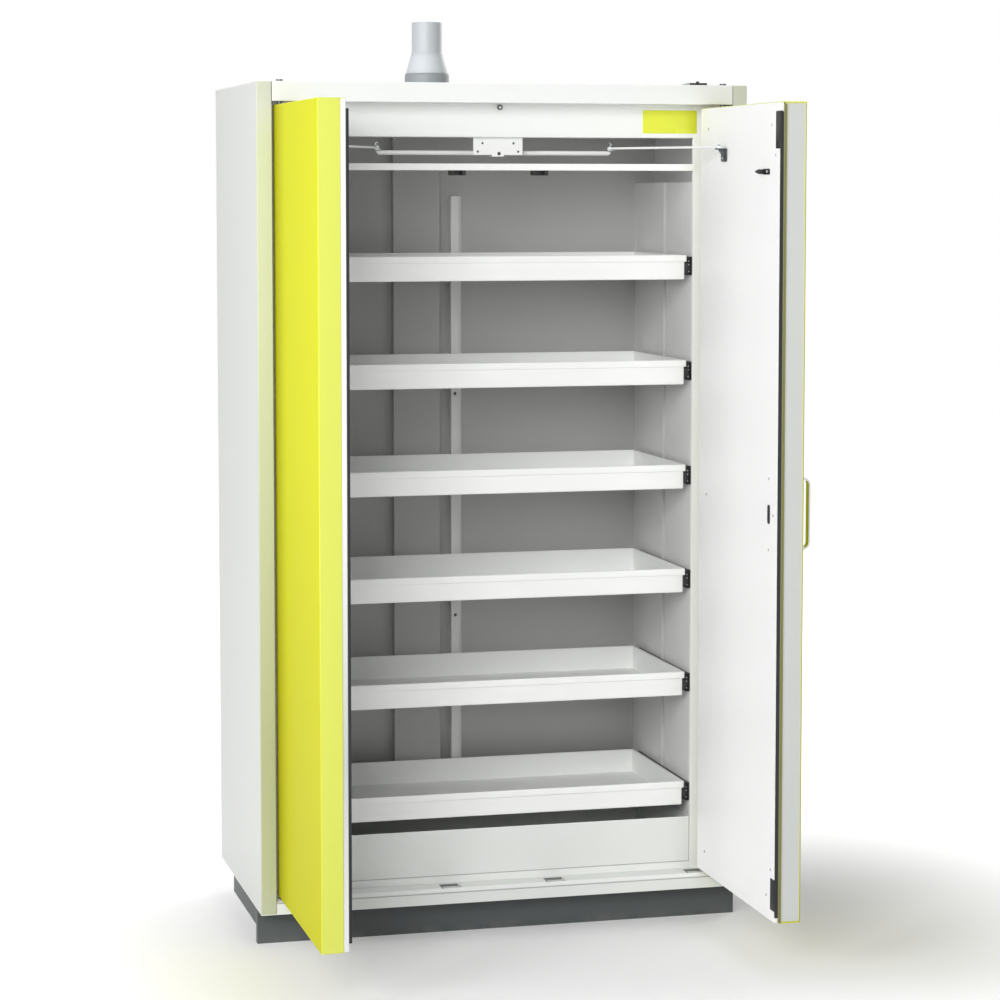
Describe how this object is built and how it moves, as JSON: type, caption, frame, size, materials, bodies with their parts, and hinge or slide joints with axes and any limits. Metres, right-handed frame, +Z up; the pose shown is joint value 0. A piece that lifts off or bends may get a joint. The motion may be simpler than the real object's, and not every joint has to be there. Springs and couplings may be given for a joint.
{
  "type": "flammable safety cabinet",
  "caption": "Tall insulated safety cabinet on a plinth with two wing doors, a self-closing gear, pull-out trays on telescopic slides, a sump and an exhaust spigot.",
  "frame": {"origin": "on the floor, in the middle of the casing's footprint, under the middle plinth board", "axes": "+Z up, -Y to the front where the doors are, +X to the right seen from the front"},
  "size_m": [1.2, 1.142, 2.214],
  "materials": {
    "casing_paint": "fine satin powder coat",
    "frame_paint": "satin powder coat",
    "lining": "matt coated board",
    "duct_paint": "matt",
    "fire_board": "raw board",
    "door_paint": "satin powder coat",
    "door_inside": "satin powder coat",
    "core_board": "raw board",
    "black_seal": "matt",
    "black_plastic": "matt",
    "black_steel": "black zinc",
    "tray_paint": "satin powder coat",
    "plinth_paint": "matt",
    "closer_paint": "gloss",
    "bright_steel": "bright",
    "handle_chrome": "polished",
    "spigot_plastic": "satin",
    "collar_plastic": "satin"
  },
  "bodies": {
    "casing": {"left_side_panel": "casing_paint", "right_side_panel": "casing_paint", "top_panel": "casing_paint", "back_panel": "casing_paint", "base_panel": "casing_paint", "front_fascia": "casing_paint", "insulation_boards": "fire_board", "left_jamb": "frame_paint", "right_jamb": "frame_paint", "header_panel": "frame_paint", "sill": "frame_paint", "sill_covers": "bright_steel", "left_lining": "lining", "right_lining": "lining", "back_lining": "lining", "ceiling_lining": "lining", "floor_lining": "frame_paint", "exhaust_duct": "duct_paint", "back_upright": "duct_paint", "cross_rail": "frame_paint", "rail_catches": "black_plastic", "closer_cover": "closer_paint", "closer_guide": "closer_paint", "hinge_pins": "bright_steel", "plinth_front": "plinth_paint", "plinth_frame": "plinth_paint", "spigot_collar": "collar_plastic", "spigot_reducer": "spigot_plastic", "earth_terminal": "black_plastic", "sump_tray": "tray_paint", "slide_outer_members": "black_steel"},
    "left_door": {"left_door_shell": "door_paint", "left_door_core": "core_board", "left_door_panel": "door_inside", "left_door_strip": "black_seal", "left_door_fittings": "black_plastic"},
    "right_door": {"right_door_shell": "door_paint", "right_door_core": "core_board", "right_door_panel": "door_inside", "right_door_seal": "black_seal", "right_door_latches": "black_plastic", "right_door_fittings": "black_plastic", "door_handle": "handle_chrome"},
    "lock": {"lock_plug": "bright_steel"},
    "left_rod": {"left_closer_rod": "bright_steel"},
    "left_carriage": {"left_closer_carriage": "closer_paint"},
    "right_rod": {"right_closer_rod": "bright_steel"},
    "right_carriage": {"right_closer_carriage": "closer_paint"},
    "tray_body_1": {"tray_1": "tray_paint"},
    "slide_body_1": {"slide_middle_1": "black_steel"},
    "tray_body_2": {"tray_2": "tray_paint"},
    "slide_body_2": {"slide_middle_2": "black_steel"},
    "tray_body_3": {"tray_3": "tray_paint"},
    "slide_body_3": {"slide_middle_3": "black_steel"},
    "tray_body_4": {"tray_4": "tray_paint"},
    "slide_body_4": {"slide_middle_4": "black_steel"},
    "tray_body_5": {"tray_5": "tray_paint"},
    "slide_body_5": {"slide_middle_5": "black_steel"},
    "tray_body_6": {"tray_6": "tray_paint"},
    "slide_body_6": {"slide_middle_6": "black_steel"}
  },
  "joints": [
    {"name": "left_door_hinge", "type": "hinge", "parent": "casing", "child": "left_door", "pos_m": [-0.543, -0.2935, 1.06], "axis": [0, 0, -1], "range_deg": [-90, 0]},
    {"name": "left_rod_pivot", "type": "hinge", "parent": "left_door", "child": "left_rod", "pos_m": [-0.475, -0.4675, 1.899], "axis": [0, 0, -1], "range_deg": [0, 140.15]},
    {"name": "left_carriage_pivot", "type": "hinge", "parent": "left_rod", "child": "left_carriage", "pos_m": [-0.29, -0.1875, 1.899], "axis": [0, 0, -1], "range_deg": [-50.15, 0]},
    {"name": "right_door_hinge", "type": "hinge", "parent": "casing", "child": "right_door", "pos_m": [0.543, -0.2935, 1.06], "axis": [0, 0, 1], "range_deg": [-90, 0]},
    {"name": "right_rod_pivot", "type": "hinge", "parent": "right_door", "child": "right_rod", "pos_m": [0.475, -0.4675, 1.899], "axis": [0, 0, 1], "range_deg": [0, 140.15]},
    {"name": "right_carriage_pivot", "type": "hinge", "parent": "right_rod", "child": "right_carriage", "pos_m": [0.29, -0.1875, 1.899], "axis": [0, 0, 1], "range_deg": [-50.15, 0]},
    {"name": "lock_turn", "type": "hinge", "parent": "right_door", "child": "lock", "pos_m": [0.557, -0.7775, 1.0615], "axis": [1, 0, 0], "range_deg": [0, 90]},
    {"name": "tray_1_slide", "type": "slide", "parent": "casing", "child": "tray_body_1", "axis": [0, -1, 0], "range_m": [0, 0.4]},
    {"name": "slide_1_travel", "type": "slide", "parent": "casing", "child": "slide_body_1", "axis": [0, -1, 0], "range_m": [0, 0.2]},
    {"name": "tray_2_slide", "type": "slide", "parent": "casing", "child": "tray_body_2", "axis": [0, -1, 0], "range_m": [0, 0.4]},
    {"name": "slide_2_travel", "type": "slide", "parent": "casing", "child": "slide_body_2", "axis": [0, -1, 0], "range_m": [0, 0.2]},
    {"name": "tray_3_slide", "type": "slide", "parent": "casing", "child": "tray_body_3", "axis": [0, -1, 0], "range_m": [0, 0.4]},
    {"name": "slide_3_travel", "type": "slide", "parent": "casing", "child": "slide_body_3", "axis": [0, -1, 0], "range_m": [0, 0.2]},
    {"name": "tray_4_slide", "type": "slide", "parent": "casing", "child": "tray_body_4", "axis": [0, -1, 0], "range_m": [0, 0.4]},
    {"name": "slide_4_travel", "type": "slide", "parent": "casing", "child": "slide_body_4", "axis": [0, -1, 0], "range_m": [0, 0.2]},
    {"name": "tray_5_slide", "type": "slide", "parent": "casing", "child": "tray_body_5", "axis": [0, -1, 0], "range_m": [0, 0.4]},
    {"name": "slide_5_travel", "type": "slide", "parent": "casing", "child": "slide_body_5", "axis": [0, -1, 0], "range_m": [0, 0.2]},
    {"name": "tray_6_slide", "type": "slide", "parent": "casing", "child": "tray_body_6", "axis": [0, -1, 0], "range_m": [0, 0.4]},
    {"name": "slide_6_travel", "type": "slide", "parent": "casing", "child": "slide_body_6", "axis": [0, -1, 0], "range_m": [0, 0.2]}
  ],
  "couplings": [
    {"joint": "left_rod_pivot", "follows": "left_door_hinge", "ratio": -1.5561},
    {"joint": "left_carriage_pivot", "follows": "left_door_hinge", "ratio": 0.55606},
    {"joint": "right_rod_pivot", "follows": "right_door_hinge", "ratio": -1.5561},
    {"joint": "right_carriage_pivot", "follows": "right_door_hinge", "ratio": 0.55606},
    {"joint": "slide_1_travel", "follows": "tray_1_slide", "ratio": 0.5},
    {"joint": "slide_2_travel", "follows": "tray_2_slide", "ratio": 0.5},
    {"joint": "slide_3_travel", "follows": "tray_3_slide", "ratio": 0.5},
    {"joint": "slide_4_travel", "follows": "tray_4_slide", "ratio": 0.5},
    {"joint": "slide_5_travel", "follows": "tray_5_slide", "ratio": 0.5},
    {"joint": "slide_6_travel", "follows": "tray_6_slide", "ratio": 0.5}
  ]
}
